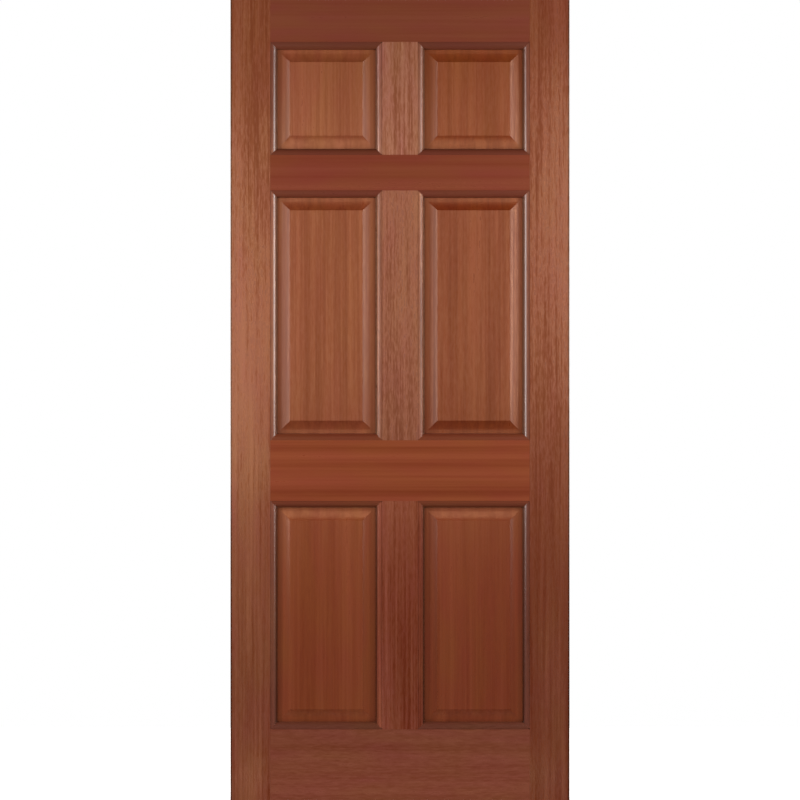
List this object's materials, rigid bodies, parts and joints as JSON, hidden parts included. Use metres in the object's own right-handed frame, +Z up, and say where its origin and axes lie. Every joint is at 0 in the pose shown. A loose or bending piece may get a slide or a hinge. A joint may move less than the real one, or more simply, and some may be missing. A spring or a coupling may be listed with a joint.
{
  "type": "panelled front door",
  "caption": "Solid hardwood entrance door leaf: stiles, rails and muntins with scribed ovolo mouldings, dowelled around raised and fielded panels; bare, ready for hinges and a lock.",
  "frame": {"origin": "middle of the foot of the door, halfway through its thickness", "axes": "+Z up along the stiles, +X across towards the right stile as seen from the front, front face towards -Y"},
  "size_m": [0.838, 0.044, 1.981],
  "materials": {
    "upright_timber": "satin clear-finished red-brown hardwood, grain upright",
    "rail_timber": "satin clear-finished red-brown hardwood, grain across",
    "panel_timber": "satin clear-finished red-brown hardwood, grain upright",
    "dowel_beech": "bare beech"
  },
  "bodies": {
    "root": {"left_stile": "upright_timber", "right_stile": "upright_timber", "top_rail": "rail_timber", "frieze_rail": "rail_timber", "lock_rail": "rail_timber", "bottom_rail": "rail_timber", "top_muntin": "upright_timber", "middle_muntin": "upright_timber", "bottom_muntin": "upright_timber", "top_left_panel": "panel_timber", "top_right_panel": "panel_timber", "middle_left_panel": "panel_timber", "middle_right_panel": "panel_timber", "bottom_left_panel": "panel_timber", "bottom_right_panel": "panel_timber", "rail_dowels": "dowel_beech", "muntin_dowels": "dowel_beech"}
  },
  "joints": []
}
